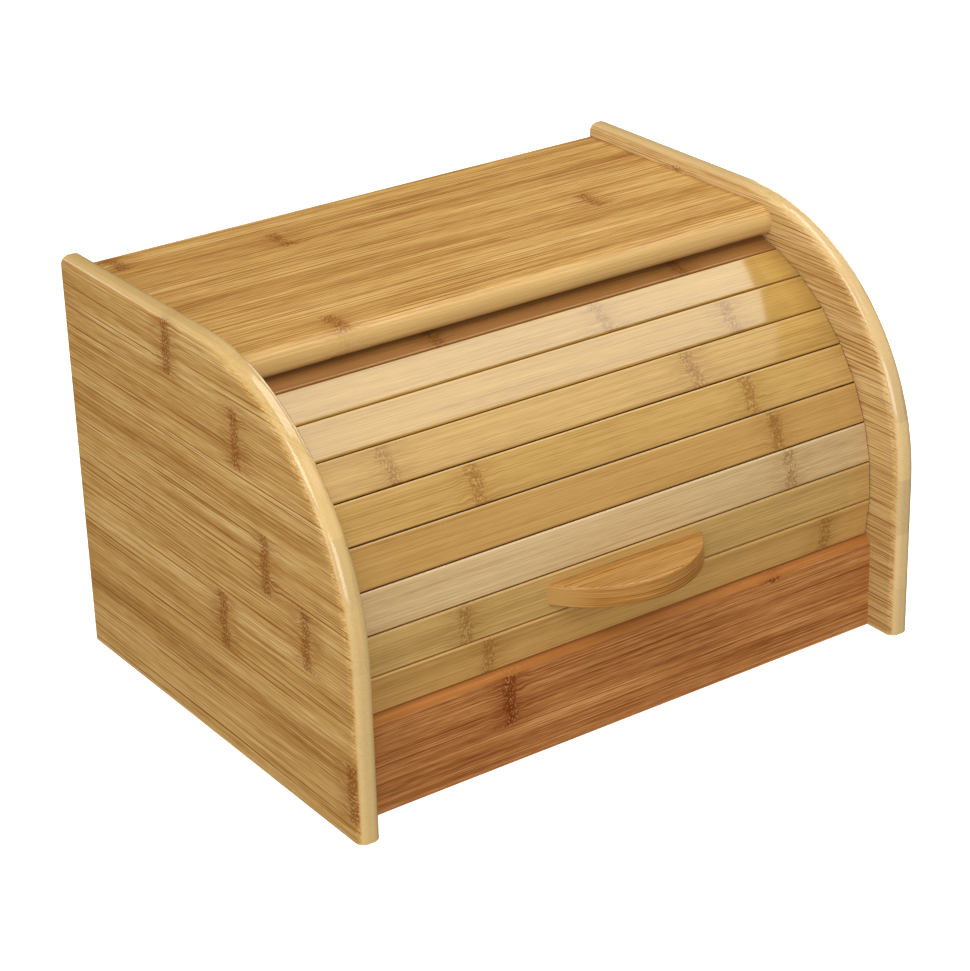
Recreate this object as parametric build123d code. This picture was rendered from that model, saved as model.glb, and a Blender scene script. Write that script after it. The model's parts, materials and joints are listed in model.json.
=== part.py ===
from build123d import *
import os
from math import cos, degrees, radians, sin, sqrt, tan

# Bread box with a roll top: two side panels joined by a top board, a bottom board, a front rail and
# a back panel, and a curtain of slats whose end tongues run in curved grooves in the side panels.
# Millimetres. X is the width, the front faces -Y, +Z is up, and z = 0 is the surface it stands on.

# ---- driving dimensions -------------------------------------------------------------------------
WIDTH = 400.0                  # over both side panels
DEPTH = 300.0                  # side panel, front to back
HEIGHT = 252.0                 # side panel, bottom to top
BOARD = 14.0                   # thickness of the side panels, top board and rail
PANEL_EDGE_R = 5.5             # rounding of the side panels' front and top edges

TOP_DROP = 8.5                 # top board's surface, below the tops of the panels
NOSE_Y = -32.0                 # foremost point of the top board's nosing
NOSE_THICK = 18.0              # nosing, rounded over its whole thickness

RAIL_FACE_Y = -128.0           # front face of the rail
RAIL_EDGE_R = 4.5              # rounding of the rail's top front edge
FLOOR_THICK = 10.0             # bottom board

BACK_THICK = 5.0               # back panel, held in grooves all round
BACK_FACE_Y = 147.0            # outer face of the back panel
BACK_GROOVE = 4.5              # depth of the grooves that hold it
BACK_PLAY = 0.1                # play on each side of the back panel

CURTAIN_Y = 12.0               # axis that the curtain turns about
CURTAIN_Z = 90.0
CURTAIN_R = 138.8              # outer corners of the slats
SLAT_COUNT = 10
SLAT_PITCH = 10.25             # degrees from slat to slat
FIRST_EDGE = -12.55            # degrees above level, lower edge of the lowest slat, when closed
SLAT_THICK = 7.0
SLAT_GAP = 0.7                 # between neighbouring slats
SLAT_EDGE_R = 1.0              # easing of the slats' outer long edges
SHOULDER_PLAY = 0.7            # slat shoulder to side panel
OPEN_TURN = 67.0               # degrees from closed to fully open

TONGUE_THICK = 4.0
TONGUE_LENGTH = 5.0            # past the panel's inner face
GROOVE_DEPTH = 6.0
GROOVE_PLAY = 0.4              # round the tongues, across the groove
GROOVE_END = 1.2               # degrees of groove past the curtain's ends

CANVAS_THICK = 0.6             # cloth glued to the back of the slats
CANVAS_WIDTH = 356.0
CANVAS_TRIM = 1.0              # degrees it stops short of the curtain's two long edges

HANDLE_SLAT = 1                # counted from the lowest slat, which is 0
HANDLE_CHORD = 111.0
HANDLE_REACH = 34.0            # from the slat's face
HANDLE_THICK = 13.0
HANDLE_EDGE_R = 1.6

BOARD_EDGE = 0.6               # chamfer on the hidden long edges of the boards

SCREW_SPACING = 64.0
SCREW_SHANK_R = 1.75
SCREW_HEAD_R = 3.5
SCREW_LENGTH = 22.0
SCREW_SLOT = 0.9               # width of each arm of the cross slot
SCREW_SLOT_DEPTH = 1.2
SCREW_SLOT_SPAN = 4.2          # from end to end of each arm
SCREW_TIP_R = 0.25
SCREW_TIP_LENGTH = 2.5
SCREW_HOLE_PLAY = 0.5          # between a screw's head and the hole in the canvas

CUT_PAST = 1.0                 # how far a cut runs past the face it opens

DOWEL_R = 3.0
DOWEL_IN_PANEL = 9.0
DOWEL_IN_BOARD = 16.0
DOWEL_END_SPACE = 1.0          # glue space at each end of a dowel
DOWEL_EDGE = 0.6               # chamfer on the dowels' ends
TOP_DOWEL_Y = 20.0, 115.0
RAIL_DOWEL_Z = 14.0, 42.0
FLOOR_DOWEL_Y = -85.0, 12.0, 110.0

# ---- worked out ---------------------------------------------------------------------------------
INNER_X = WIDTH / 2 - BOARD
PANEL_ARC_R = DEPTH / 2
TOP_Z = HEIGHT - TOP_DROP
TOP_UNDER_Z = TOP_Z - BOARD
RAIL_BACK_Y = RAIL_FACE_Y + BOARD
BACK_INNER_Y = BACK_FACE_Y - BACK_THICK
HALF_PITCH = SLAT_PITCH / 2
SLAT_FACE = CURTAIN_R * cos(radians(HALF_PITCH))       # from the axis to a slat's flat outer face
LAST_EDGE = FIRST_EDGE + SLAT_COUNT * SLAT_PITCH
SHOULDER_X = INNER_X - SHOULDER_PLAY
TONGUE_X = INNER_X + TONGUE_LENGTH
TONGUE_INSET = (SLAT_THICK - TONGUE_THICK) / 2
HANDLE_ANGLE = FIRST_EDGE + (HANDLE_SLAT + 0.5) * SLAT_PITCH


def on_curtain(radius, angle):
    """Point (y, z) at this radius from the curtain's axis, angle degrees above level at the front."""
    turn = radians(angle)
    return CURTAIN_Y - radius * cos(turn), CURTAIN_Z + radius * sin(turn)


def across(profile, x_from, x_to):
    """Solid with a (y, z) profile, a face drawn on Plane.YZ, running from x_from to x_to."""
    return Pos(x_from, 0, 0) * extrude(profile, x_to - x_from)


def block(x0, x1, y0, y1, z0, z1):
    return Pos((x0 + x1) / 2, (y0 + y1) / 2, (z0 + z1) / 2) * Box(x1 - x0, y1 - y0, z1 - z0)


def closed(*lines):
    """Face on Plane.YZ inside a closed chain of lines given in (y, z)."""
    return Plane.YZ * make_face(Curve() + list(lines))


def slat_place(index):
    """Frame on a slat's outer face: local X along the slat, local Y up along the curtain, Z outward."""
    angle = FIRST_EDGE + (index + 0.5) * SLAT_PITCH
    y, z = on_curtain(SLAT_FACE, angle)
    turn = radians(angle)
    return Plane(origin=(0, y, z), x_dir=(1, 0, 0), z_dir=(0, -cos(turn), sin(turn)))


# ---- dowel places: (y, z) of each dowel, the same at both ends of a board -----------------------
TOP_DOWELS = [(y, TOP_UNDER_Z + BOARD / 2) for y in TOP_DOWEL_Y]
RAIL_DOWELS = [(RAIL_FACE_Y + BOARD / 2, z) for z in RAIL_DOWEL_Z]
FLOOR_DOWELS = [(y, FLOOR_THICK / 2) for y in FLOOR_DOWEL_Y]
ALL_DOWELS = TOP_DOWELS + RAIL_DOWELS + FLOOR_DOWELS


def dowel_holes(places):
    """Blind holes at both ends, through the joint between board and panel."""
    holes = []
    for side in (-1, 1):
        x0 = side * (INNER_X - DOWEL_IN_BOARD)
        x1 = side * (INNER_X + DOWEL_IN_PANEL)
        for y, z in places:
            hole = Cylinder(DOWEL_R, abs(x1 - x0), rotation=(0, 90, 0))
            holes.append(Pos((x0 + x1) / 2, y, z) * hole)
    return holes


def dowel_group(places):
    """Chamfered dowels, each a little shorter than its two holes."""
    length = DOWEL_IN_BOARD + DOWEL_IN_PANEL - 2 * DOWEL_END_SPACE
    dowels = []
    for side in (-1, 1):
        middle = side * (INNER_X + (DOWEL_IN_PANEL - DOWEL_IN_BOARD) / 2)
        for y, z in places:
            pin = Cylinder(DOWEL_R, length, rotation=(0, 90, 0))
            pin = chamfer(pin.edges().filter_by(GeomType.CIRCLE), DOWEL_EDGE)
            dowels.append(Pos(middle, y, z) * pin)
    return Compound(children=dowels)


# ---- casing -------------------------------------------------------------------------------------
def panel_outline():
    """Side panel's outline: upright front, quarter round, level top, upright back."""
    front, back = -DEPTH / 2, DEPTH / 2
    spring = HEIGHT - PANEL_ARC_R
    return closed(
        Line((front, 0), (front, spring)),
        CenterArc((0, spring), PANEL_ARC_R, 180, -90),
        Line((0, HEIGHT), (back, HEIGHT)),
        Line((back, HEIGHT), (back, 0)),
        Line((back, 0), (front, 0)),
    )


def groove_ring():
    """Curved groove for the tongues, as a (y, z) face: a ring sector about the curtain's axis."""
    tongue_outer = SLAT_FACE - TONGUE_INSET
    half_width = CURTAIN_R * sin(radians(HALF_PITCH))
    outer = sqrt(tongue_outer ** 2 + half_width ** 2) + GROOVE_PLAY
    inner = tongue_outer - TONGUE_THICK - GROOVE_PLAY
    low = FIRST_EDGE - GROOVE_END
    high = LAST_EDGE + OPEN_TURN + GROOVE_END
    centre = (CURTAIN_Y, CURTAIN_Z)
    # angles above level at the front run clockwise from the -Y direction
    return closed(
        CenterArc(centre, outer, 180 - low, low - high),
        Line(on_curtain(outer, high), on_curtain(inner, high)),
        CenterArc(centre, inner, 180 - high, high - low),
        Line(on_curtain(inner, low), on_curtain(outer, low)),
    )


def side_panel(side):
    panel = across(panel_outline(), INNER_X, WIDTH / 2)
    inner_face, outer_face = panel.faces().sort_by(Axis.X)[0], panel.faces().sort_by(Axis.X)[-1]
    outlines = inner_face.edges() + outer_face.edges()
    not_foot = outlines.sort_by(Axis.Z)[2:]
    panel = fillet(not_foot.sort_by(Axis.Y)[:-2], PANEL_EDGE_R)
    panel -= across(groove_ring(), INNER_X - CUT_PAST, INNER_X + GROOVE_DEPTH)
    panel -= back_panel_room()
    panel -= dowel_holes(ALL_DOWELS)
    return panel if side > 0 else mirror(panel, Plane.YZ)


def back_panel_room():
    """Space of the back panel with its play, cut from the panels and boards that hold it."""
    edge_x = INNER_X + BACK_GROOVE
    return block(-edge_x, edge_x, BACK_INNER_Y - BACK_PLAY, BACK_FACE_Y + BACK_PLAY,
                 FLOOR_THICK - BACK_GROOVE, TOP_UNDER_Z + BACK_GROOVE)


def top_board():
    """Board with a thicker rounded nosing that hangs just in front of the curtain."""
    nose_r = NOSE_THICK / 2
    nose_y = NOSE_Y + nose_r
    nose_z = TOP_Z - nose_r
    profile = closed(
        Line((DEPTH / 2, TOP_Z), (nose_y, TOP_Z)),
        CenterArc((nose_y, nose_z), nose_r, 90, 180),
        Line((nose_y, nose_z - nose_r), (nose_y, TOP_UNDER_Z)),
        Line((nose_y, TOP_UNDER_Z), (DEPTH / 2, TOP_UNDER_Z)),
        Line((DEPTH / 2, TOP_UNDER_Z), (DEPTH / 2, TOP_Z)),
    )
    board = across(profile, -INNER_X, INNER_X)
    board = ease_back(board)
    return board - back_panel_room() - dowel_holes(TOP_DOWELS)


def ease_back(board):
    """Chamfer the two long edges at a board's back."""
    return chamfer(board.edges().filter_by(Axis.X).group_by(Axis.Y)[-1], BOARD_EDGE)


def front_rail():
    """Upright rail, its top sloped to meet the lower edge of the lowest slat."""
    seat = FIRST_EDGE - degrees(SLAT_GAP / 2 / CURTAIN_R)
    slope = tan(radians(-seat))
    front_top = CURTAIN_Z + (RAIL_FACE_Y - CURTAIN_Y) * slope
    back_top = CURTAIN_Z + (RAIL_BACK_Y - CURTAIN_Y) * slope
    profile = closed(
        Line((RAIL_FACE_Y, 0), (RAIL_FACE_Y, front_top)),
        Line((RAIL_FACE_Y, front_top), (RAIL_BACK_Y, back_top)),
        Line((RAIL_BACK_Y, back_top), (RAIL_BACK_Y, 0)),
        Line((RAIL_BACK_Y, 0), (RAIL_FACE_Y, 0)),
    )
    rail = across(profile, -INNER_X, INNER_X)
    edge = rail.edges().filter_by(Axis.X).group_by(Axis.Y)[0].sort_by(Axis.Z)[-1]
    return fillet(edge, RAIL_EDGE_R) - dowel_holes(RAIL_DOWELS)


def bottom_board():
    board = ease_back(block(-INNER_X, INNER_X, RAIL_BACK_Y, DEPTH / 2, 0, FLOOR_THICK))
    return board - back_panel_room() - dowel_holes(FLOOR_DOWELS)


def back_panel():
    edge_x = INNER_X + BACK_GROOVE - BACK_PLAY
    return block(-edge_x, edge_x, BACK_INNER_Y, BACK_FACE_Y,
                 FLOOR_THICK - BACK_GROOVE, TOP_UNDER_Z + BACK_GROOVE - BACK_PLAY)


# ---- curtain ------------------------------------------------------------------------------------
def slat_outline(thick_from, thick_to):
    """Cross-section of a slat between two depths behind its face, with sides that point at the axis."""
    def half(depth):
        return (SLAT_FACE - depth) * tan(radians(HALF_PITCH)) - SLAT_GAP / 2
    near, far = half(thick_from), half(thick_to)
    points = [(near, -thick_from), (-near, -thick_from), (-far, -thick_to), (far, -thick_to)]
    return make_face(Polyline(*points, close=True))


def lengthwise(outline, half_length):
    """A slat's cross-section, (up, out), run along X to both sides of the middle."""
    frame = Plane(origin=(-half_length, 0, 0), x_dir=(0, 1, 0), z_dir=(1, 0, 0))
    return extrude(frame * outline, 2 * half_length)


def screw_places():
    return [-SCREW_SPACING / 2, SCREW_SPACING / 2]


def head_height():
    return SCREW_HEAD_R - SCREW_SHANK_R


def slat(index):
    body = lengthwise(slat_outline(0, SLAT_THICK), SHOULDER_X)
    face_edges = body.edges().filter_by(Axis.X).group_by(Axis.Z)[-1]
    body = fillet(face_edges, SLAT_EDGE_R)
    body += lengthwise(slat_outline(TONGUE_INSET, TONGUE_INSET + TONGUE_THICK), TONGUE_X)
    if index == HANDLE_SLAT:
        for x in screw_places():
            body -= Pos(x, 0, -SLAT_THICK / 2) * Cylinder(SCREW_SHANK_R, SLAT_THICK + 2 * CUT_PAST)
            body -= Pos(x, 0, -SLAT_THICK) * head_cone()
    return slat_place(index) * body


def canvas():
    """Cloth on the back of the slats: flat behind each slat, folded at each gap."""
    near = SLAT_FACE - SLAT_THICK
    outline = Polyline(*canvas_line(near), *reversed(canvas_line(near - CANVAS_THICK)), close=True)
    sheet = across(Plane.YZ * make_face(outline), -CANVAS_WIDTH / 2, CANVAS_WIDTH / 2)
    for x in screw_places():
        hole = Cylinder(SCREW_HEAD_R + SCREW_HOLE_PLAY, 2 * (CANVAS_THICK + CUT_PAST))
        hole = Pos(x, 0, -SLAT_THICK) * hole
        sheet -= slat_place(HANDLE_SLAT) * hole
    return sheet


def canvas_line(level):
    """Points (y, z) up the cloth: its first end, its fold at each gap, its last end."""
    folds = [FIRST_EDGE + k * SLAT_PITCH for k in range(1, SLAT_COUNT)]
    fold_radius = level / cos(radians(HALF_PITCH))
    end_radius = level / cos(radians(HALF_PITCH - CANVAS_TRIM))
    points = [on_curtain(end_radius, FIRST_EDGE + CANVAS_TRIM)]
    points += [on_curtain(fold_radius, angle) for angle in folds]
    points += [on_curtain(end_radius, LAST_EDGE - CANVAS_TRIM)]
    return points


def half_moon():
    """Outline of the handle on its slat's face: a chord on the face and a round front edge."""
    ends = (-HANDLE_CHORD / 2, 0), (HANDLE_CHORD / 2, 0)
    arc = ThreePointArc(ends[0], (0, HANDLE_REACH), ends[1])
    return make_face(Curve() + [Line(ends[1], ends[0]), arc])


def handle():
    plate = extrude(half_moon(), HANDLE_THICK / 2, both=True)
    rim = [e for e in plate.edges() if e.geom_type == GeomType.CIRCLE]
    plate = fillet(rim, HANDLE_EDGE_R)
    # the outline's (x, out) becomes the slat frame's (X, Z)
    plate = Plane(origin=(0, 0, 0), x_dir=(1, 0, 0), z_dir=(0, -1, 0)) * plate
    depth = SCREW_LENGTH - SLAT_THICK
    for x in screw_places():
        plate -= Pos(x, 0, depth / 2) * Cylinder(SCREW_SHANK_R, depth)
    return slat_place(HANDLE_SLAT) * plate


def head_cone():
    """Countersunk head's cone, its flat side at local z = 0 and its neck above."""
    cone = Cone(SCREW_HEAD_R, SCREW_SHANK_R, head_height())
    return Pos(0, 0, head_height() / 2) * cone


def handle_screws():
    """Two cross-slotted countersunk screws, driven outward through the slat into the handle."""
    screws = []
    for x in screw_places():
        shank = Pos(0, 0, SCREW_LENGTH / 2) * Cylinder(SCREW_SHANK_R, SCREW_LENGTH)
        far_edge = shank.edges().filter_by(GeomType.CIRCLE).sort_by(Axis.Z)[-1]
        shank = chamfer(far_edge, SCREW_TIP_LENGTH, SCREW_SHANK_R - SCREW_TIP_R)
        screw = shank + head_cone()
        for turn in (0, 90):
            screw -= Box(SCREW_SLOT_SPAN, SCREW_SLOT, 2 * SCREW_SLOT_DEPTH, rotation=(0, 0, turn))
        screws.append(slat_place(HANDLE_SLAT) * Pos(x, 0, -SLAT_THICK) * screw)
    return Compound(children=screws)


# ---- all sub-parts ------------------------------------------------------------------------------
def build():
    parts = {
        "side_panel_left": side_panel(-1),
        "side_panel_right": side_panel(1),
        "top_board": top_board(),
        "front_rail": front_rail(),
        "bottom_board": bottom_board(),
        "back_panel": back_panel(),
        "top_board_dowels": dowel_group(TOP_DOWELS),
        "front_rail_dowels": dowel_group(RAIL_DOWELS),
        "bottom_board_dowels": dowel_group(FLOOR_DOWELS),
    }
    for index in range(SLAT_COUNT):
        parts[f"slat_{index + 1:02d}"] = slat(index)
    parts["canvas_backing"] = canvas()
    parts["handle"] = handle()
    parts["handle_screws"] = handle_screws()
    return parts


os.makedirs("parts", exist_ok=True)
for node, shape in build().items():
    export_step(shape, f"parts/{node}.step")
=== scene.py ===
import json
import random
from math import cos, pi, radians, sin, tan

import bmesh
import bpy
from mathutils import Matrix, Vector


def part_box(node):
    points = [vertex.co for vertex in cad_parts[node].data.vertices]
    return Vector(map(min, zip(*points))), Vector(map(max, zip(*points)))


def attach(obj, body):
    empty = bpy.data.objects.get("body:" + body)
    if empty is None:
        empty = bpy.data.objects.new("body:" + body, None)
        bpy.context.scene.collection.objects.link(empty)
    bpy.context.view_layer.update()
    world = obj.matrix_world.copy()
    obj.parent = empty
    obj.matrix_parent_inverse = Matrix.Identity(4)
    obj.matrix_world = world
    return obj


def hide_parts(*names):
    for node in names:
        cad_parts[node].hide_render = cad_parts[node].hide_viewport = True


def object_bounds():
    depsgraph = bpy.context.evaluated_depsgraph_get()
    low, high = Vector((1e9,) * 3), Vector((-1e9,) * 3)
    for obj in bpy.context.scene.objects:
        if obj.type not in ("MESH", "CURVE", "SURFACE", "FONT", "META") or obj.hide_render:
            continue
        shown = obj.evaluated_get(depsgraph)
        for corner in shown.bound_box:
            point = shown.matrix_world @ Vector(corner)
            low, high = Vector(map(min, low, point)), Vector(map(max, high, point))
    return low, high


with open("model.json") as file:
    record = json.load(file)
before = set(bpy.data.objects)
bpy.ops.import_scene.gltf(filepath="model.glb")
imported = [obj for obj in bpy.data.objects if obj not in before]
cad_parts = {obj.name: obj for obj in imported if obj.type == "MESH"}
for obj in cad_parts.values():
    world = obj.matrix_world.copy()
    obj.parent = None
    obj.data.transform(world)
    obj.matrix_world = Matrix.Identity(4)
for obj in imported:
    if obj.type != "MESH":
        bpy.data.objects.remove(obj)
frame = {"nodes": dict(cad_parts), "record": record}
CAD_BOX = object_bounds()

# A bamboo bread box: side panels, top board, rail and floor around a curtain of slats that turns
# about one axis. Everything is in metres, X across, the front towards -Y, +Z up.

MM = 0.001

# ---- the curtain, as the frame has it ------------------------------------------------------------
AXIS_Y, AXIS_Z = frame["record"]["behaviour"]["joints"][0]["pos_m"][1:]
SLATS = sorted(node for node in frame["nodes"] if node.startswith("slat_"))
FIRST_EDGE = -12.55            # degrees above level, lower edge of the lowest slat
PITCH = 10.25                  # degrees from slat to slat
CORNER_R = 138.8 * MM          # from the axis to a slat's outer corners
FACE_R = CORNER_R * cos(radians(PITCH / 2))
SLAT_THICK = 7 * MM
CANVAS_THICK = 0.6 * MM
CANVAS_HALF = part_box("canvas_backing")[1][0]
SCREW_X = 32 * MM
SCREW_HEAD_R = 4 * MM
HANDLE_SLAT = 1                # counted from 0

# ---- canvas --------------------------------------------------------------------------------------
CLOTH_STEPS = 12               # rows of faces behind each slat
CLOTH_COLUMNS = 90
CLOTH_TRIM = 1.0               # degrees cut back at both ends
PUCKER = 0.35 * MM             # how far the cloth dips at a gap
PUCKER_REACH = 1.2             # degrees to each side of a gap
THREAD = 0.85 * MM

# ---- bamboo strips in the boards -----------------------------------------------------------------
PANEL_STRIP = 36 * MM          # strips in a side panel, up the panel
PANEL_SEAM = -4 * MM           # height of a seam between two of them
BOARD_STRIP = 24.5 * MM        # strips in the top, bottom and back boards


# ---- shader maths --------------------------------------------------------------------------------
class Field:
    """A value that varies over a surface: one socket, written into sums like a number."""

    def __init__(self, finish, socket):
        self.finish, self.socket = finish, socket

    def maths(self, operation, *values):
        return self.finish.node("ShaderNodeMath", {"operation": operation}, dict(enumerate(values)))

    def __add__(self, other):
        return self.maths("ADD", self, other)

    def __sub__(self, other):
        return self.maths("SUBTRACT", self, other)

    def __rsub__(self, other):
        return self.maths("SUBTRACT", other, self)

    def __mul__(self, other):
        return self.maths("MULTIPLY", self, other)

    def __truediv__(self, other):
        return self.maths("DIVIDE", self, other)

    def __pow__(self, other):
        return self.maths("POWER", self, other)

    def __abs__(self):
        return self.maths("ABSOLUTE", self)

    __radd__ = __add__
    __rmul__ = __mul__

    def floor(self):
        return self.maths("FLOOR", self)

    def sine(self):
        return self.maths("SINE", self)

    def most(self, other):
        return self.maths("MAXIMUM", self, other)

    def angle_from(self, other):
        return self.maths("ARCTAN2", self, other)

    def step(self, start, end):
        """0 before start and 1 after end, smooth between; end may be the smaller."""
        settings = {"interpolation_type": "SMOOTHSTEP"}
        rising = start < end
        low, high = (start, end) if rising else (end, start)
        ends = {"From Min": low, "From Max": high, "To Min": 0 if rising else 1, "To Max": 1 if rising else 0}
        return self.finish.node("ShaderNodeMapRange", settings, {"Value": self, **ends})


class Finish:
    """A material under construction. What is the same all over is set on the shader's own sockets."""

    def __init__(self, name, **constants):
        self.material = bpy.data.materials.new(name)
        self.material.use_nodes = True
        self.tree = self.material.node_tree
        self.shader = self.tree.nodes["Principled BSDF"]
        for socket, value in constants.items():
            self.shader.inputs[socket.replace("_", " ")].default_value = value

    def node(self, kind, settings=None, inputs=None, output=0):
        """Any node: its settings first, then the values or links of its sockets."""
        made = self.tree.nodes.new(kind)
        for key, value in (settings or {}).items():
            if key == "stops":
                ramp_stops(made.color_ramp, value)
            else:
                setattr(made, key, value)
        for key, value in (inputs or {}).items():
            if isinstance(value, Field):
                self.tree.links.new(value.socket, made.inputs[key])
            else:
                made.inputs[key].default_value = value
        return Field(self, made.outputs[output])

    def place(self):
        """The point's place in the frame, as three fields in metres."""
        point = self.node("ShaderNodeTexCoord", output="Object")
        return [self.node("ShaderNodeSeparateXYZ", None, {0: point}, k) for k in range(3)]

    def vector(self, x, y, z):
        return self.node("ShaderNodeCombineXYZ", None, {0: x, 1: y, 2: z})

    def noise(self, x, y, z, detail=2.0):
        sockets = {"Vector": self.vector(x, y, z), "Scale": 1.0, "Detail": detail}
        return self.node("ShaderNodeTexNoise", None, sockets)

    def chance(self, seed):
        """A random number from 0 to 1 for each whole number."""
        return self.node("ShaderNodeTexWhiteNoise", {"noise_dimensions": "1D"}, {"W": seed})

    def mix(self, factor, first, second):
        """Colour mix; first and second are colours or fields."""
        return self.node("ShaderNodeMix", {"data_type": "RGBA"}, {0: factor, 6: first, 7: second}, 2)

    def ramp(self, factor, stops):
        return self.node("ShaderNodeValToRGB", {"stops": stops}, {0: factor})

    def facing(self, axis):
        """1 on faces square to this axis, 0 on faces along it."""
        normal = self.node("ShaderNodeTexCoord", output="Normal")
        along = self.node("ShaderNodeVectorMath", {"operation": "DOT_PRODUCT"}, {0: normal, 1: axis}, "Value")
        return abs(along).step(0.55, 0.9)

    def bump(self, height, distance, strength):
        sockets = {"Height": height, "Distance": distance, "Strength": strength}
        self.feed("Normal", self.node("ShaderNodeBump", None, sockets))

    def feed(self, socket, field):
        self.tree.links.new(field.socket, self.shader.inputs[socket])


def ramp_stops(ramp, stops):
    while len(ramp.elements) < len(stops):
        ramp.elements.new(1.0)
    for element, (place, colour) in zip(ramp.elements, stops):
        element.position = place
        element.color = colour


def shade(red, green, blue):
    """Linear colour from the usual 0 to 255 values."""
    def linear(value):
        value /= 255
        return value / 12.92 if value <= 0.04045 else ((value + 0.055) / 1.055) ** 2.4
    return linear(red), linear(green), linear(blue), 1.0


# ---- bamboo --------------------------------------------------------------------------------------
def panel_grain(finish):
    x, y, z = finish.place()
    return y, z, x


def board_grain(finish):
    x, y, z = finish.place()
    return x, y, z


def upright_grain(finish):
    x, y, z = finish.place()
    return x, z, y


def handle_grain(finish):
    """Grain lines along the top and bottom faces, and level round the curved front."""
    x, y, z = finish.place()
    return x, z + y * finish.facing((0, 0, 1)), 0.0


def slat_grain(finish):
    """Along the slat, round the curtain, and out from its axis."""
    x, y, z = finish.place()
    out, up = AXIS_Y - y, z - AXIS_Z
    reach = (out * out + up * up) ** 0.5
    return x, up.angle_from(out) * FACE_R, reach


def fibres(finish, along, across, depth, length, width, detail):
    """Noise drawn out along the grain: streaks about this long and this wide."""
    return finish.noise(along / length, across / width, depth / width, detail)


def knot_marks(finish, along, across, knots):
    """Growth rings of the culm across a strip. Each knot is (along, middle across, half width)."""
    sway = (finish.noise(across / (13 * MM), 0.0, 0.0, 2.0) - 0.5) * 0.009
    ragged = (finish.noise(along / (1.6 * MM), across / (1.6 * MM), 7.0, 3.0) - 0.5) * 0.008
    ring, halo = None, None
    for where, middle, half in knots:
        off = abs(along - where + sway + ragged)
        inside = abs(across - middle + ragged).step(half + 0.8 * MM, half - 1.2 * MM)
        one_ring = inside * off.step(6.2 * MM, 1.8 * MM)
        one_halo = inside * off.step(24 * MM, 2 * MM)
        ring = one_ring if ring is None else ring.most(one_ring)
        halo = one_halo if halo is None else halo.most(one_halo)
    return ring, halo


def hairlines(finish, along, across, spacing, thick, length, seed):
    """Thin parallel lines along the grain, one to each spacing, each fading in and out on its own."""
    wander = finish.noise(along / 0.2, across / (12 * MM), seed, 1.0) - 0.5
    course = across / spacing + wander * 1.4
    line = course.floor()
    own = finish.chance(line + seed)
    off = abs(course - line - 0.2 - own * 0.6)
    presence = finish.noise(along / length + own * 90, own * 70, seed, 2.0)
    return off.step(thick / spacing, thick / spacing * 0.2) * presence.step(0.42, 0.64)


def tinted(colour, red, green, blue):
    """A colour with each channel multiplied, none past 1."""
    return tuple(min(1.0, c * k) for c, k in zip(colour, (red, green, blue))) + (1.0,)


def fibre_tone(finish, along, across, depth, shift, seed, luck, contrast):
    """Where the wood lies from dark at 0 to pale at 1, and its fibres alone."""
    broad = fibres(finish, along + seed, across, depth, 0.5, 17 * MM, 2.0)
    streak = fibres(finish, along + shift * 2, across, depth, 0.5, 3.4 * MM, 1.0)
    fibre = fibres(finish, along + shift * 3, across, depth, 0.16, 0.8 * MM, 2.0)
    fleck = fibres(finish, along + shift * 5, across, depth, 0.014, 0.8 * MM, 1.0)
    cloud = finish.noise(along / 0.07, across / (12 * MM), seed, 2.0)
    tone = 0.5 + (luck - 0.5) * (0.14 * contrast)
    shares = (broad, 0.62), (cloud, 0.28), (streak, 0.18), (fibre, 0.8), (fleck, 0.4)
    for part, share in shares:
        tone = tone + (part - 0.5) * (share * contrast)
    return tone, fibre


def draw_lines(finish, colour, along, across, seed, amount, dark, pale):
    """Pale, faint and strong dark lines over a colour, and the two dark ones as fields."""
    strong = hairlines(finish, along, across, 3.1 * MM, 0.5 * MM, 0.13, seed + 1)
    faint = hairlines(finish, along, across, 1.45 * MM, 0.36 * MM, 0.045, seed + 2)
    light = hairlines(finish, along, across, 2.3 * MM, 0.4 * MM, 0.08, seed + 3)
    colour = finish.mix(light * (0.4 * amount), colour, pale)
    colour = finish.mix(faint * (0.6 * amount), colour, dark)
    colour = finish.mix(strong * (0.75 * amount), colour, tinted(dark, 0.85, 0.64, 0.45))
    return colour, strong, faint


def burn_knots(finish, colour, along, across, depth, ring, halo, seed, amount, dark, pale):
    """Singed fans around the rings, burnt and pale specks inside them, and the burnt ones alone."""
    burnt_tone = tinted(dark, 0.72, 0.46, 0.2)
    fan = finish.noise(along / (16 * MM), across / (1.1 * MM), seed, 2.0)
    speck = finish.noise(along / (1.1 * MM), across / (1.6 * MM), depth * 300, 2.0)
    burnt = ring * speck.step(0.44, 0.54)
    singed = halo * (0.2 + fan.step(0.4, 0.62) * 0.8)
    colour = finish.mix(singed * amount, colour, tinted(dark, 0.95, 0.78, 0.55))
    colour = finish.mix(ring * (0.4 * amount), colour, burnt_tone)
    colour = finish.mix(burnt * amount, colour, burnt_tone)
    colour = finish.mix(ring * speck.step(0.42, 0.34) * 0.4, colour, pale)
    return colour, burnt


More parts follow.
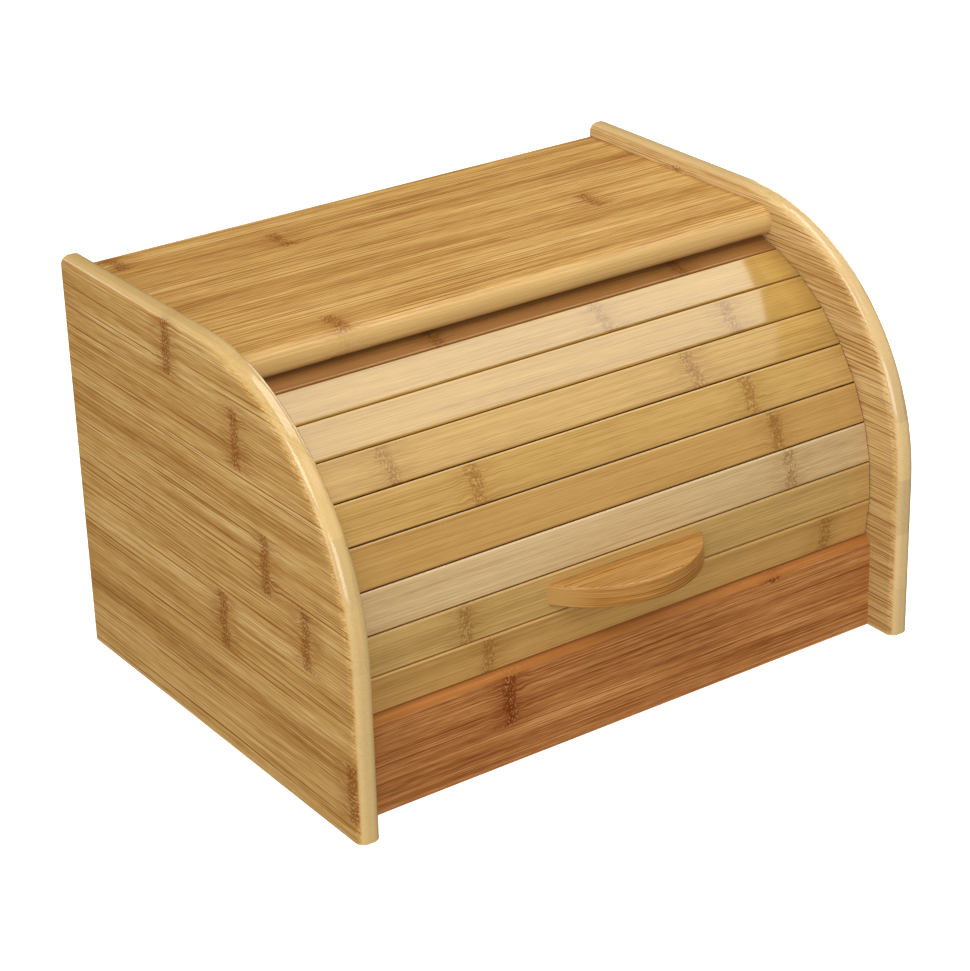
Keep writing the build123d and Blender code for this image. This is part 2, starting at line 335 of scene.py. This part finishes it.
def bamboo(name, grain, axis, tones, strip=None, seam=0.0, knots=(), seed=0.0, contrast=1.0,
           roughness=0.45, coat=0.03, gloss=0.13, sheen=0.04, lines=1.0, knot_depth=0.8,
           edge_highlight_and_joint=None, painted_top_light=None, edge_tone_and_highlight=None, painted_shade_axis=None):
    """Lacquered bamboo. tones are a dark, a middle and a pale colour; knots as in knot_marks.

    The last four, in order: a pale painted highlight along a slat's upper edge, with the slat's sides
    down in the gaps tinted orange-brown; a tint of painted light over the part above a height; the
    strips' own pale end tone with a painted highlight in it, evening out the rounded edges of a board
    whose faces look along that axis; painted shade darkening all but the faces along its axis.
    """
    f = Finish(name, Coat_Weight=coat, Coat_Roughness=gloss, Specular_IOR_Level=sheen)
    dark, middle, pale = tones
    along, across, depth = grain(f)
    flat_across, flat_along = across, along
    if strip:
        course = (across - seam) / strip
        index = course.floor()
        luck = f.chance(index + seed)
        to_seam = (0.5 - abs(course - index - 0.5)) * strip
        # a dark glue line along each seam between strips
        joint_mask = to_seam.step(0.5 * MM, 0.05 * MM)
        lamina = f.chance(index + seed + 5)
    else:
        luck = f.chance(across * 0 + seed)
        lamina = luck
    if knots:
        ring, halo = knot_marks(f, along, across, knots)
        swirl = f.noise(along / (13 * MM), across / (8 * MM), depth * 40, 1.0) - 0.5
        across = across + swirl * halo * 0.007
    shift = luck * 9.7 + seed
    tone, fibre = fibre_tone(f, along, across, depth, shift, seed, luck, contrast)
    colour = f.ramp(tone, [(0.2, dark), (0.5, middle), (0.8, pale)])
    colour, strong, faint = draw_lines(f, colour, along, across + depth, seed, contrast * lines, dark, pale)
    relief = fibre * 0.5 - strong * 0.12 - faint * 0.08
    if knots:
        colour, burnt = burn_knots(f, colour, flat_along, flat_across, depth, ring, halo, seed,
                                   knot_depth, dark, pale)
        relief = relief - burnt * 0.8
    if strip:
        colour = f.mix(joint_mask * 0.2, colour, dark)
        relief = relief - joint_mask * 0.4
    if edge_highlight_and_joint is not None:
        middle_line, half = edge_highlight_and_joint
        # painted highlight: a pale line along the slat's upper edge, where its rounded edge would catch the
        # light; the slat's sides down in the gap take their own orange-brown
        painted_edge_highlight = (flat_across - middle_line).step(half - 2.0 * MM, half - 1.4 * MM)
        joint = depth.step(FACE_R - 0.5 * MM, FACE_R - 1.1 * MM)
        colour = f.mix(painted_edge_highlight * 0.32, colour, tinted(pale, 1.15, 1.15, 1.15))
        colour = f.mix(joint * 0.95, colour, tinted(dark, 1.9, 1.0, 0.45))
    # painted light: a flat tone over the part above a height, for how the rail's top face takes the light
    if painted_top_light is not None:
        low, high, tint = painted_top_light
        colour = f.mix(flat_across.step(low, high) * 0.75, colour, tint)
    # painted shade: darkens every face that is not square to this axis, as on the handle's front, which takes
    # less light than its top
    if painted_shade_axis is not None:
        colour = f.mix((1 - f.facing(painted_shade_axis)) * 0.35, colour, dark)
    ends = f.facing(axis)
    pores = f.noise(across / (0.6 * MM), depth / (0.6 * MM), along * 30, 2.0)
    if edge_tone_and_highlight is None:
        end_tone = f.mix(lamina, tinted(middle, 0.85, 0.85, 0.85), tinted(pale, 0.98, 0.98, 0.98))
        end_tone = f.mix(pores.step(0.5, 0.66) * 0.1, end_tone, dark)
    else:
        # the rounded edges take the strips' own pale end tone, made paler as a painted highlight, and a
        # stronger coat
        edge = 1 - f.facing(edge_tone_and_highlight)
        end_tone = f.mix(lamina, tinted(pale, 0.84, 0.84, 0.84), tinted(pale, 0.98, 0.98, 0.98))
        end_tone = f.mix(pores.step(0.42, 0.66) * ends * 0.14, end_tone, dark)
        colour = f.mix(edge * 0.68, colour, end_tone)
        f.feed("Coat Weight", coat + edge * 0.94)
    f.feed("Base Color", f.mix(ends, colour, end_tone))
    f.feed("Roughness", roughness + (fibre - 0.5) * 0.14)
    f.bump(relief, 0.0001, 0.5)
    return f.material


def strip_knots(count, strip, seam, reach, seed, low=0.0):
    """One knot at a random place in each strip of a board."""
    draw = random.Random(seed)
    first = int((low - seam) // strip)
    return [(draw.uniform(-reach, reach), seam + (first + k + 0.5) * strip, strip / 2)
            for k in range(count)]


def panel_knots(places):
    """Knots at (along, up) places in mm, each as tall as a strip."""
    return [(y * MM, z * MM, PANEL_STRIP / 2) for y, z in places]


PANEL_TONES = shade(140, 91, 38), shade(181, 140, 78), shade(210, 178, 120)
# painted light: the right panel's tones are made paler than the left's, for the light on its inner face
RIGHT_TONES_PAINTED_LIGHT = shade(148, 101, 48), shade(196, 158, 98), shade(218, 186, 132)
BOARD_TONES = shade(144, 94, 42), shade(190, 147, 82), shade(212, 176, 114)
RAIL_TONES = shade(124, 68, 28), shade(174, 114, 62), shade(204, 152, 94)
# painted light: the tone laid over the rail's top face
RAIL_TOP_PAINTED_LIGHT = shade(170, 108, 52)
HANDLE_TONES = shade(136, 82, 30), shade(180, 133, 69), shade(202, 162, 98)
BACK_TONES = shade(146, 104, 56), shade(188, 146, 90), shade(212, 178, 126)

# middle colour of each slat, from the lowest up, and its knots as distances from the middle, in mm
SLAT_LOOKS = [
    ((188, 145, 82), (-96, 151)), ((184, 148, 88), (-111,)), ((190, 160, 114), (125,)),
    ((174, 134, 75), (120,)), ((182, 145, 84), (-86, 109)), ((184, 147, 82), (-132, 79)),
    ((176, 138, 72), (121,)), ((179, 141, 74), (44,)), ((148, 102, 54), (115, -60)),
    ((190, 142, 76), (-20,)),
]


def slat_material(index):
    middle, places = SLAT_LOOKS[index]
    dark = shade(*(c * k for c, k in zip(middle, (0.77, 0.72, 0.62))))
    pale = shade(*(min(245, c * k) for c, k in zip(middle, (1.1, 1.14, 1.24))))
    half = FACE_R * radians(PITCH / 2)
    up = FACE_R * radians(FIRST_EDGE + (index + 0.5) * PITCH)
    knots = [(x * MM, up, half) for x in places]
    # every slat takes a pale painted highlight along its upper edge
    return bamboo(f"slat_bamboo_{index + 1:02d}", slat_grain, (1, 0, 0), (dark, shade(*middle), pale),
                  knots=knots, seed=index * 3.7 + 1, contrast=0.6, coat=0.95, gloss=0.035,
                  sheen=0.02, lines=0.68, knot_depth=0.42, edge_highlight_and_joint=(up, half))


def canvas_material():
    f = Finish("cotton_canvas", Roughness=0.92, Sheen_Weight=0.25, Sheen_Roughness=0.5)
    x, y, z = f.place()
    round_way = (z - AXIS_Z).angle_from(AXIS_Y - y) * FACE_R
    warp = (x * (2 * pi / THREAD)).sine()
    weft = (round_way * (2 * pi / THREAD)).sine()
    weave = warp * weft * 0.5 + 0.5
    slub = f.noise(x / (14 * MM), round_way / (0.9 * MM), 0.0, 2.0)
    colour = f.mix(weave * 0.55, shade(150, 134, 104), shade(206, 192, 162))
    colour = f.mix(slub.step(0.5, 0.75) * 0.35, colour, shade(170, 150, 112))
    out, up = AXIS_Y - y, z - AXIS_Z
    fold_face = FACE_R - SLAT_THICK + 0.1 * MM
    # painted shade: the cloth's outer face, seen only at the bottom of the gaps between the slats, is painted
    # dark brown
    joint_mask = ((out * out + up * up) ** 0.5).step(fold_face, fold_face + 0.3 * MM)
    f.feed("Base Color", f.mix(joint_mask, colour, shade(150, 86, 34)))
    f.bump(weave + slub * 0.4, 0.0002, 0.6)
    return f.material


def dowel_material():
    f = Finish("beech_dowel", Roughness=0.7)
    x, y, z = f.place()
    grain = f.noise(x / (20 * MM), y / (0.7 * MM), z / (0.7 * MM), 3.0)
    f.feed("Base Color", f.ramp(grain, [(0.3, shade(176, 138, 92)), (0.7, shade(214, 182, 136))]))
    f.bump(grain, 0.0001, 0.5)
    return f.material


def steel_material():
    f = Finish("zinc_steel", Metallic=1.0)
    x, y, z = f.place()
    cloud = f.noise(x / (1.2 * MM), y / (1.2 * MM), z / (1.2 * MM), 3.0)
    f.feed("Base Color", f.ramp(cloud, [(0.3, shade(150, 152, 156)), (0.7, shade(196, 197, 198))]))
    f.feed("Roughness", 0.25 + cloud * 0.2)
    return f.material


def dress(node, material):
    """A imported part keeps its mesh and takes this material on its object."""
    for slot in frame["nodes"][node].material_slots:
        slot.link = "OBJECT"
        slot.material = material


def dress_all():
    left = panel_knots([(29, 235), (-42, 203), (-66, 137), (-16, 83), (-104, 107), (-144, 30)])
    # the panels' rounded edges take a pale tone, partly the strips' own and partly a painted highlight
    dress("side_panel_left", bamboo("panel_bamboo_left", panel_grain, (0, 1, 0), PANEL_TONES,
                                    PANEL_STRIP, PANEL_SEAM, left, 3.0, 0.88, lines=1.6,
                                    knot_depth=0.66, edge_tone_and_highlight=(1, 0, 0)))
    # the right panel takes the paler tones of painted light
    right = panel_knots([(60, 228), (-20, 196), (-96, 150), (-60, 118), (96, 84), (-110, 50), (10, 18)])
    dress("side_panel_right", bamboo("panel_bamboo_right", panel_grain, (0, 1, 0), RIGHT_TONES_PAINTED_LIGHT,
                                     PANEL_STRIP, PANEL_SEAM, right, 11.0, 0.9, lines=1.45,
                                     knot_depth=0.66, edge_tone_and_highlight=(1, 0, 0)))
    top_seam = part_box("top_board")[0][1]
    half = BOARD_STRIP / 2
    top = [(x * MM, y * MM, half) for x, y in ((-171, 138), (-74, 112), (111, 51), (-119, -20))]
    # the top's rounded nose takes a pale tone, partly the strips' own and partly a painted highlight
    dress("top_board", bamboo("top_bamboo", board_grain, (1, 0, 0), BOARD_TONES,
                              BOARD_STRIP, top_seam, top, 21.0, coat=0.12, lines=1.45,
                              knot_depth=0.6, edge_tone_and_highlight=(0, 0, 1)))
    ground = strip_knots(11, BOARD_STRIP, 0.0, 0.17, 8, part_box("bottom_board")[0][1])
    dress("bottom_board", bamboo("floor_bamboo", board_grain, (1, 0, 0), BOARD_TONES,
                                 BOARD_STRIP, 0.0, ground, 31.0, coat=0.0, roughness=0.55))
    back = strip_knots(10, BOARD_STRIP, 0.0, 0.17, 13)[::2]
    dress("back_panel", bamboo("back_bamboo", upright_grain, (1, 0, 0), BACK_TONES,
                               BOARD_STRIP, 0.0, back, 41.0, coat=0.0, roughness=0.55, knot_depth=0.5))
    rail_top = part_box("front_rail")[1][2]
    rail = [(-84 * MM, 42 * MM, 17 * MM), (110 * MM, rail_top - 4 * MM, 4 * MM)]
    # the rail's top band takes a tint of painted light
    dress("front_rail", bamboo("rail_bamboo", upright_grain, (1, 0, 0), RAIL_TONES,
                               knots=rail, seed=51.0, contrast=1.1, coat=0.1,
                               painted_top_light=(rail_top - 6 * MM, rail_top - 5 * MM, RAIL_TOP_PAINTED_LIGHT)))
    # the handle's front and sides take painted shade
    dress("handle", bamboo("handle_bamboo", handle_grain, (1, 0, 0), HANDLE_TONES,
                           seed=61.0, coat=0.5, gloss=0.08, lines=1.4, painted_shade_axis=(0, 0, 1)))
    for index, node in enumerate(SLATS):
        dress(node, slat_material(index))
    dowel = dowel_material()
    for node in ("top_board_dowels", "front_rail_dowels", "bottom_board_dowels"):
        dress(node, dowel)
    dress("handle_screws", steel_material())


# ---- canvas backing ------------------------------------------------------------------------------
def on_curtain(radius, angle):
    turn = radians(angle)
    return AXIS_Y - radius * cos(turn), AXIS_Z + radius * sin(turn)


def canvas_path():
    """(y, z, out y, out z) down the cloth's middle: flat behind each slat, a soft pucker at each gap."""
    level = FACE_R - SLAT_THICK - CANVAS_THICK / 2
    rows = []
    total = len(SLATS) * CLOTH_STEPS
    whole = len(SLATS) * PITCH
    for k in range(total + 1):
        angle = FIRST_EDGE + CLOTH_TRIM + (whole - 2 * CLOTH_TRIM) * k / total
        slat = min(len(SLATS) - 1, int((angle - FIRST_EDGE) // PITCH))
        middle = FIRST_EDGE + (slat + 0.5) * PITCH
        off = angle - middle
        near_gap = max(0.0, 1 - (PITCH / 2 - abs(off)) / PUCKER_REACH)
        past_start, before_end = angle - FIRST_EDGE, FIRST_EDGE + whole - angle
        if min(past_start, before_end) < 2 * CLOTH_TRIM:
            near_gap = 0.0
        radius = level / cos(radians(off)) - PUCKER * near_gap ** 2
        rows.append((*on_curtain(radius, angle), middle))
    return rows


def canvas_backing():
    """Cloth strip, two faces and a rim, with a round hole over each screw head."""
    rows = canvas_path()
    columns = CLOTH_COLUMNS
    mesh = bmesh.new()
    grid = {}
    for side in (-1, 1):
        for k, (y, z, middle) in enumerate(rows):
            turn = radians(middle)
            out_y, out_z = -cos(turn), sin(turn)
            for c in range(columns + 1):
                x = CANVAS_HALF * (2 * c / columns - 1)
                shift = side * CANVAS_THICK / 2
                grid[side, k, c] = mesh.verts.new((x, y + out_y * shift, z + out_z * shift))
    for side in (-1, 1):
        for k in range(len(rows) - 1):
            for c in range(columns):
                ring = [grid[side, k, c], grid[side, k, c + 1],
                        grid[side, k + 1, c + 1], grid[side, k + 1, c]]
                mesh.faces.new(ring if side > 0 else ring[::-1])
    rim = [(k, 0) for k in range(len(rows))] + [(len(rows) - 1, c) for c in range(1, columns + 1)]
    rim += [(k, columns) for k in range(len(rows) - 2, -1, -1)] + [(0, c) for c in range(columns - 1, 0, -1)]
    for (k0, c0), (k1, c1) in zip(rim, rim[1:] + rim[:1]):
        mesh.faces.new([grid[1, k0, c0], grid[1, k1, c1], grid[-1, k1, c1], grid[-1, k0, c0]])
    bmesh.ops.recalc_face_normals(mesh, faces=mesh.faces)
    cloth = new_object("canvas_cloth", mesh)
    punch_holes(cloth)
    cloth.data.materials.append(canvas_material())
    for face in cloth.data.polygons:
        face.use_smooth = True
    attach(cloth, "curtain")
    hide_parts("canvas_backing")


def new_object(name, mesh):
    data = bpy.data.meshes.new(name)
    mesh.to_mesh(data)
    mesh.free()
    made = bpy.data.objects.new(name, data)
    bpy.context.scene.collection.objects.link(made)
    return made


def punch_holes(cloth):
    middle = FIRST_EDGE + (HANDLE_SLAT + 0.5) * PITCH
    turn = radians(middle)
    y, z = on_curtain(FACE_R - SLAT_THICK, middle)
    for side in (-1, 1):
        cutter = bmesh.new()
        bmesh.ops.create_cone(cutter, cap_ends=True, segments=28, radius1=SCREW_HEAD_R,
                              radius2=SCREW_HEAD_R, depth=6 * MM)
        aim = Vector((0, -cos(turn), sin(turn))).to_track_quat("Z", "Y").to_matrix().to_4x4()
        seat = Matrix.Translation((side * SCREW_X, y, z)) @ aim
        bmesh.ops.transform(cutter, matrix=seat, verts=cutter.verts)
        tool = new_object("hole_cutter", cutter)
        cut = cloth.modifiers.new("hole", "BOOLEAN")
        cut.operation, cut.object, cut.solver = "DIFFERENCE", tool, "EXACT"
        shape = bpy.data.meshes.new_from_object(cloth.evaluated_get(bpy.context.evaluated_depsgraph_get()))
        cloth.modifiers.clear()
        cloth.data = shape
        bpy.data.objects.remove(tool)


# ---- studio --------------------------------------------------------------------------------------
VIEW_ANGLES = -34.62, 25.26, -1.644      # turn, rise and roll, in degrees
VIEW_PLACE = 1.7231, -0.009695, 0.0918
VIEW_LENS = 103.76
BOX = (0, 0, 0.12)

# name, centre, what it faces, width, height, radiance, tint
SOFTBOXES = [
    ("overhead", (0.6, 0.03, 1.3), (0.6, 0.03, 0), 0.8, 0.72, 4.7, (0.98, 1, 0.92)),
    ("overhead_front", (0.72, -0.78, 1.3), (0.72, -0.78, 0), 0.84, 0.5, 1.5, (1, 1, 1)),
    ("key", (-0.75, -0.68, 1.25), (0, 0, 0.15), 0.6, 0.6, 6.6, (1, 1, 1)),
    ("left", (-2.0, -0.6, 0.6), BOX, 1.4, 1.0, 4.0, (1, 1, 1)),
    ("front", (-0.5, -2.2, 0.8), BOX, 1.4, 1.0, 5.0, (1, 1, 1)),
    ("rear", (-0.9, 2.3, 0.9), BOX, 1.6, 0.9, 2.8, (1, 1, 1)),
    ("right", (2.0, 1.0, 0.7), BOX, 1.2, 0.7, 3.6, (1, 1, 1)),
]


def camera():
    """Seen from the left and a little above; distances are from the frame's origin."""
    turn, rise, roll = (radians(angle) for angle in VIEW_ANGLES)
    back = Vector((sin(turn) * cos(rise), -cos(turn) * cos(rise), sin(rise)))
    level = (-back).cross(Vector((0, 0, 1))).normalized()
    upright = level.cross(-back)
    right = level * cos(roll) + upright * sin(roll)
    up = upright * cos(roll) - level * sin(roll)
    data = bpy.data.cameras.new("camera")
    data.sensor_width, data.lens = 36, VIEW_LENS
    data.clip_start, data.clip_end = 0.05, 60
    seat = bpy.data.objects.new("camera", data)
    away, aside, above = VIEW_PLACE
    place = back * away + right * aside + up * above
    turned = Matrix((right, up, back)).transposed().to_4x4()
    seat.matrix_world = Matrix.Translation(place) @ turned
    bpy.context.scene.collection.objects.link(seat)
    bpy.context.scene.camera = seat


def floor():
    f = Finish("studio_floor", Base_Color=(0.93, 0.93, 0.93, 1), Roughness=0.9, Specular_IOR_Level=0.1,
               Emission_Color=(1, 1, 1, 1), Emission_Strength=0.6)
    mesh = bmesh.new()
    bmesh.ops.create_grid(mesh, x_segments=4, y_segments=4, size=24)
    bmesh.ops.translate(mesh, vec=(0, 0, CAD_BOX[0][2] - 0.3 * MM), verts=mesh.verts)
    sweep = new_object("studio_floor", mesh)
    sweep.data.materials.append(f.material)
    sweep.visible_diffuse, sweep.visible_glossy = False, False


def softbox(name, centre, target, width, height, radiance, tint):
    data = bpy.data.lights.new(name, "AREA")
    data.shape, data.size, data.size_y = "RECTANGLE", width, height
    data.energy = radiance * pi * width * height
    data.color = tint
    lamp = bpy.data.objects.new(name, data)
    lamp.location = centre
    lamp.rotation_mode = "QUATERNION"
    lamp.rotation_quaternion = (Vector(target) - Vector(centre)).to_track_quat("-Z", "Y")
    bpy.context.scene.collection.objects.link(lamp)


def studio():
    world = bpy.data.worlds.new("studio")
    world.use_nodes = True
    sky = world.node_tree.nodes["Background"]
    sky.inputs["Color"].default_value = (1, 1, 1, 1)
    sky.inputs["Strength"].default_value = 0.42
    bpy.context.scene.world = world
    world.cycles_visibility.glossy = False
    for box in SOFTBOXES:
        softbox(*box)
    bpy.context.scene.view_settings.view_transform = "Standard"


camera()
floor()
studio()
dress_all()
canvas_backing()
